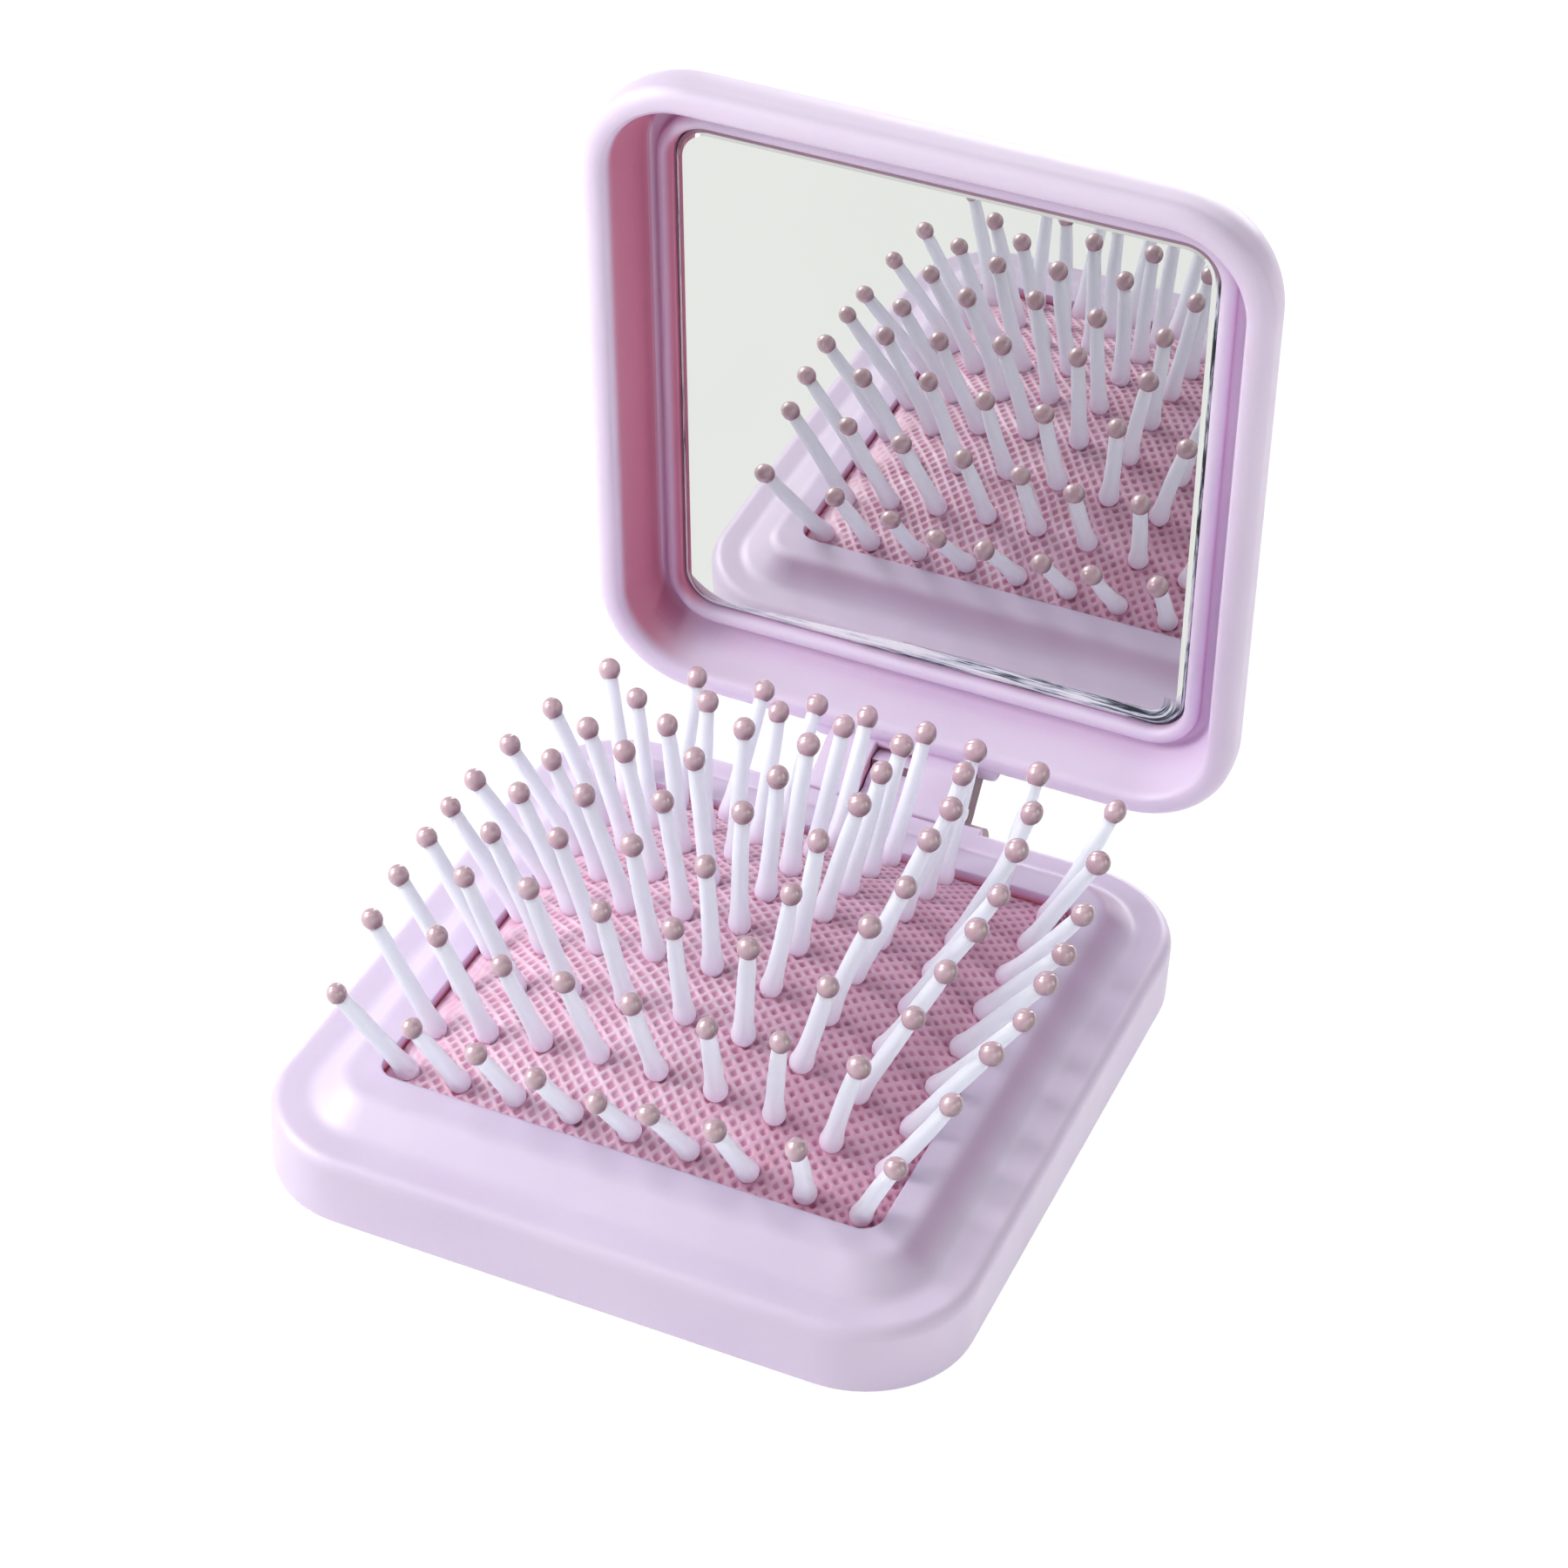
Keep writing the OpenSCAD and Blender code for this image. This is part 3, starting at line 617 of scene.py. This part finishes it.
# outline of a pin: distance from the rubber, radius; the flanged root under the rubber comes first
PIN_LINE = [(-2.35, 0.0), (-2.35, 1.15), (-2.28, 1.3), (-1.62, 1.3), (-1.55, 1.2), (-1.5, 0.9), (-0.5, 0.9),
            (-0.15, 1.02), (0.1, 1.14), (0.35, 1.21), (0.7, 1.24), (1.1, 1.2), (1.6, 1.11), (2.2, 1.04),
            (3.0, 0.98), (4.4, 0.94), (6.0, 0.92), (8.0, 0.90), (10.0, 0.88), (12.0, 0.84), (13.0, 0.80),
            (13.6, 0.80), (14.0, 0.82)]
# balls: radius, how much it grows towards the right and the back, and how far the drop is drawn out at its two ends
BALL_R, BALL_GROW = 1.18, 0.05
BALL_TALL, BALL_DRAWN = 1.08, 1.16


def axes(d):
    """Two directions square to d."""
    x = np.cross([0.0, 1.0, 0.0], d)
    x /= np.linalg.norm(x)
    return x, np.cross(d, x)


def skin(rings, seg):
    """Faces from ring to ring; a ring of one point is an end."""
    rows, start = [], 0
    for ring in rings:
        rows.append(list(range(start, start + len(ring))))
        start += len(ring)
    faces = []
    for a, b in zip(rows, rows[1:]):
        for k in range(seg):
            n = (k + 1) % seg
            if len(a) == 1:
                faces.append((a[0], b[n], b[k]))
            elif len(b) == 1:
                faces.append((a[k], a[n], b[0]))
            else:
                faces.append((a[k], a[n], b[n], b[k]))
    if len(rows[-1]) > 1:
        faces.append(tuple(rows[-1]))
    return np.concatenate(rings), faces


def pin_mesh(i, j, seg=20):
    """A pin with a wide foot, slightly bent; no two are quite the same."""
    f, d = foot(i, j), pin_dir(i, j)
    ex, ey = axes(d)
    bend = 0.18 * scatter(i, j, 3) * ex + 0.18 * scatter(i, j, 4) * ey
    size = 1 + 0.04 * scatter(i, j, 5)
    rings, along = [], []
    ang = np.linspace(0, 2 * math.pi, seg, endpoint=False)
    for s, r in PIN_LINE:
        t = max(0.0, s) / PIN_LEN
        c = f + d * s + bend * math.sin(math.pi * t)
        rings.append(c + r * size * (np.cos(ang)[:, None] * ex + np.sin(ang)[:, None] * ey) if r else c[None])
        along += [t] * len(rings[-1])
    return *skin(rings, seg), along


def ball_mesh(i, j, seg=22, levels=14):
    """A drop of resin dried on the end of the pin: near enough round, no two the same."""
    f, d = foot(i, j), pin_dir(i, j)
    ex, ey = axes(d)
    c = f + d * (PIN_LEN + 0.1 * scatter(i, j, 6))
    r = (BALL_R + BALL_GROW * i / LAST + BALL_GROW * j / LAST) * (1 + 0.04 * scatter(i, j, 7))
    tall = BALL_TALL + 0.05 * scatter(i, j, 8)
    wide = 1 + 0.04 * scatter(i, j, 9)
    turn = 2 * scatter(i, j, 10)
    ang = np.linspace(0, 2 * math.pi, seg, endpoint=False)
    rings = [(c - d * r * BALL_DRAWN)[None]]
    for k in range(1, levels):
        a = -math.pi / 2 + math.pi * k / levels
        z, w = math.sin(a), math.cos(a)
        # drawn out a little towards the pin, as a drop is
        w *= 1 - 0.10 * z ** 2 if z < 0 else 1
        z *= tall if z > 0 else BALL_DRAWN
        lump = 1 + 0.02 * np.cos(ang + turn) * w + 0.012 * np.cos(2 * ang + 3 * turn)
        rings.append(c + d * r * z + (r * w * lump)[:, None]
                     * (np.cos(ang)[:, None] * ex * wide + np.sin(ang)[:, None] * ey / wide))
    rings.append((c + d * r * tall)[None])
    return *skin(rings, seg), []


def row_object(name, make, j):
    """One object for a row of nine pins or balls."""
    verts, faces, along, off = [], [], [], 0
    for i in STEPS:
        v, f, t = make(i, j)
        verts.append(v)
        along += t
        faces += [tuple(k + off for k in q) for q in f]
        off += len(v)
    obj = new_mesh(name, np.concatenate(verts), faces)
    if along:
        obj.data.attributes.new("along", "FLOAT", "POINT").data.foreach_set("value", along)
    return obj


# one object for each row of pins and one for each row of balls, in place of the model's rows (the real pins give way
# as the shut lid presses down what stands higher than 8 mm)
for k in range(1, 10):
    pins = row_object("bristles_%d" % k, pin_mesh, k - 5)
    dress(pins, nylon_mat)
    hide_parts("pin_row_%d" % k)
    balls = row_object("balls_%d" % k, ball_mesh, k - 5)
    dress(balls, resin_mat)
    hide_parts("tip_row_%d" % k)
    for o in (pins, balls):
        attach(o, "base")
        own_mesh(o)
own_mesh(pad_obj)


# ---------------------------------------------------------------- camera, floor and light

# the camera: bearing, height and roll in degrees, place in millimetres, focal length in picture widths
CAMERA_TURN = (21.70, 36.31, 2.83)
CAMERA_AT = (120.205, -291.658, 268.861)
CAMERA_FOCUS = 4485.3 / 1800
# the middle of the object, where the lamps point, and how far away the large ones are, in metres
AIM = (0, 0, 0.03)
LAMP_AWAY = 1.3


def place_camera():
    az, el, roll = (math.radians(v) for v in CAMERA_TURN)
    d = Vector((math.sin(az) * math.cos(el), -math.cos(az) * math.cos(el), math.sin(el)))
    right = (-d).cross(Vector((0, 0, 1))).normalized()
    up = right.cross(-d)
    c, s = math.cos(roll), math.sin(roll)
    cam = bpy.data.cameras.new("camera")
    cam.sensor_width = 36
    cam.lens = CAMERA_FOCUS * cam.sensor_width
    cam.clip_start, cam.clip_end = 0.01, 20
    obj = link("camera", cam)
    m = Matrix((c * right + s * up, -s * right + c * up, d)).transposed().to_4x4()
    m.translation = Vector(CAMERA_AT) * MM
    obj.matrix_world = m
    bpy.context.scene.camera = obj


def area(name, at, size, power, color):
    light = bpy.data.lights.new(name, "AREA")
    light.shape = "ELLIPSE"
    light.size, light.size_y = size
    light.energy = power
    light.color = color
    obj = link(name, light)
    obj.location = at
    obj.rotation_euler = (Vector(AIM) - Vector(at)).to_track_quat("-Z", "Y").to_euler()


def floor():
    """White floor that keeps the object's soft shadow."""
    far, low = 3000, -0.05
    obj = new_mesh("floor", [(-far, -far, low), (far, -far, low), (far, far, low), (-far, far, low)],
                   [(0, 1, 2, 3)], smooth=False)
    mat, nt, bsdf = material("white_floor")
    cloud = noise(nt, object_coords(nt), 8, 2)
    shade(nt, bsdf, {
        "Base Color": ramp(nt, cloud, [(0.3, (0.86, 0.86, 0.86)), (0.7, (0.87, 0.87, 0.87))]),
        "Roughness": 0.9,
        "Specular IOR Level": 0.0,
        "Emission Color": WHITE,
        "Emission Strength": 0.18})
    # seen directly or in the mirror, most of it is an even white
    glow = node(nt, "ShaderNodeEmission")
    glow.inputs["Color"].default_value = WHITE
    glow.inputs["Strength"].default_value = 1.08
    path = node(nt, "ShaderNodeLightPath")
    seen = maths(nt, "MAXIMUM", path.outputs["Is Camera Ray"], path.outputs["Is Glossy Ray"])
    mix = node(nt, "ShaderNodeMixShader")
    nt.links.new(times(nt, seen, 0.88), mix.inputs["Fac"])
    nt.links.new(bsdf.outputs[0], mix.inputs[1])
    nt.links.new(glow.outputs[0], mix.inputs[2])
    nt.links.new(mix.outputs[0], nt.nodes["Material Output"].inputs["Surface"])
    dress(obj, mat)


def world():
    """A pale room, seen by the camera and in reflections, brighter on the left; the lamps give the light."""
    w = bpy.data.worlds.new("studio")
    bpy.context.scene.world = w
    w.use_nodes = True
    nt = w.node_tree
    nt.nodes.clear()

    def background(color, strength):
        b = node(nt, "ShaderNodeBackground")
        feed(nt, b.inputs["Color"], color)
        feed(nt, b.inputs["Strength"], strength)
        return b.outputs[0]
    way = node(nt, "ShaderNodeTexCoord").outputs["Generated"]
    room = span(nt, dot(nt, way, (-0.80, -0.55, 0.20)), -0.6, 0.9, 0.25, 0.9)
    # a bright window on that side
    window = smooth(nt, dot(nt, way, (-0.90, -0.30, 0.30)), 0.80, 0.84)
    room = maths(nt, "ADD", room, span(nt, window, 0, 1, 0, 1.6))
    path = node(nt, "ShaderNodeLightPath")
    light = background((1.0, 0.97, 1.0, 1), 0.02)
    for ray, seen in (("Is Glossy Ray", background((1.0, 0.98, 1.0, 1), room)),
                      ("Is Camera Ray", background((0.8, 0.8, 0.8, 1), 1.0))):
        mix = node(nt, "ShaderNodeMixShader")
        nt.links.new(path.outputs[ray], mix.inputs["Fac"])
        nt.links.new(light, mix.inputs[1])
        nt.links.new(seen, mix.inputs[2])
        light = mix.outputs[0]
    nt.links.new(light, node(nt, "ShaderNodeOutputWorld").inputs["Surface"])


place_camera()
floor()
world()
area("key", (-0.36, -0.16, 0.25), (0.16, 0.22), 1.05, (1.0, 0.99, 0.985))
# large soft lamps round the table: bearing from the front towards the right, height above the table, size, power
for name, bearing, height, size, power in (
        ("left", 270, 42, (0.35, 0.9), 5.0), ("left_front", 315, 42, (0.5, 0.9), 3.1),
        ("right_front", 45, 15, (0.9, 0.9), 2.9), ("right", 90, 15, (0.9, 0.9), 3.7),
        ("back", 180, 15, (0.9, 0.9), 8.8), ("back_high", 180, 42, (0.9, 0.9), 2.8),
        ("top", 0, 75, (0.9, 0.9), 1.5)):
    a, e = math.radians(bearing), math.radians(height)
    way = Vector((math.sin(a) * math.cos(e), -math.cos(a) * math.cos(e), math.sin(e)))
    area(name, Vector(AIM) + LAMP_AWAY * way, size, power, (1, 1, 1))
bpy.context.scene.view_settings.view_transform = "Standard"
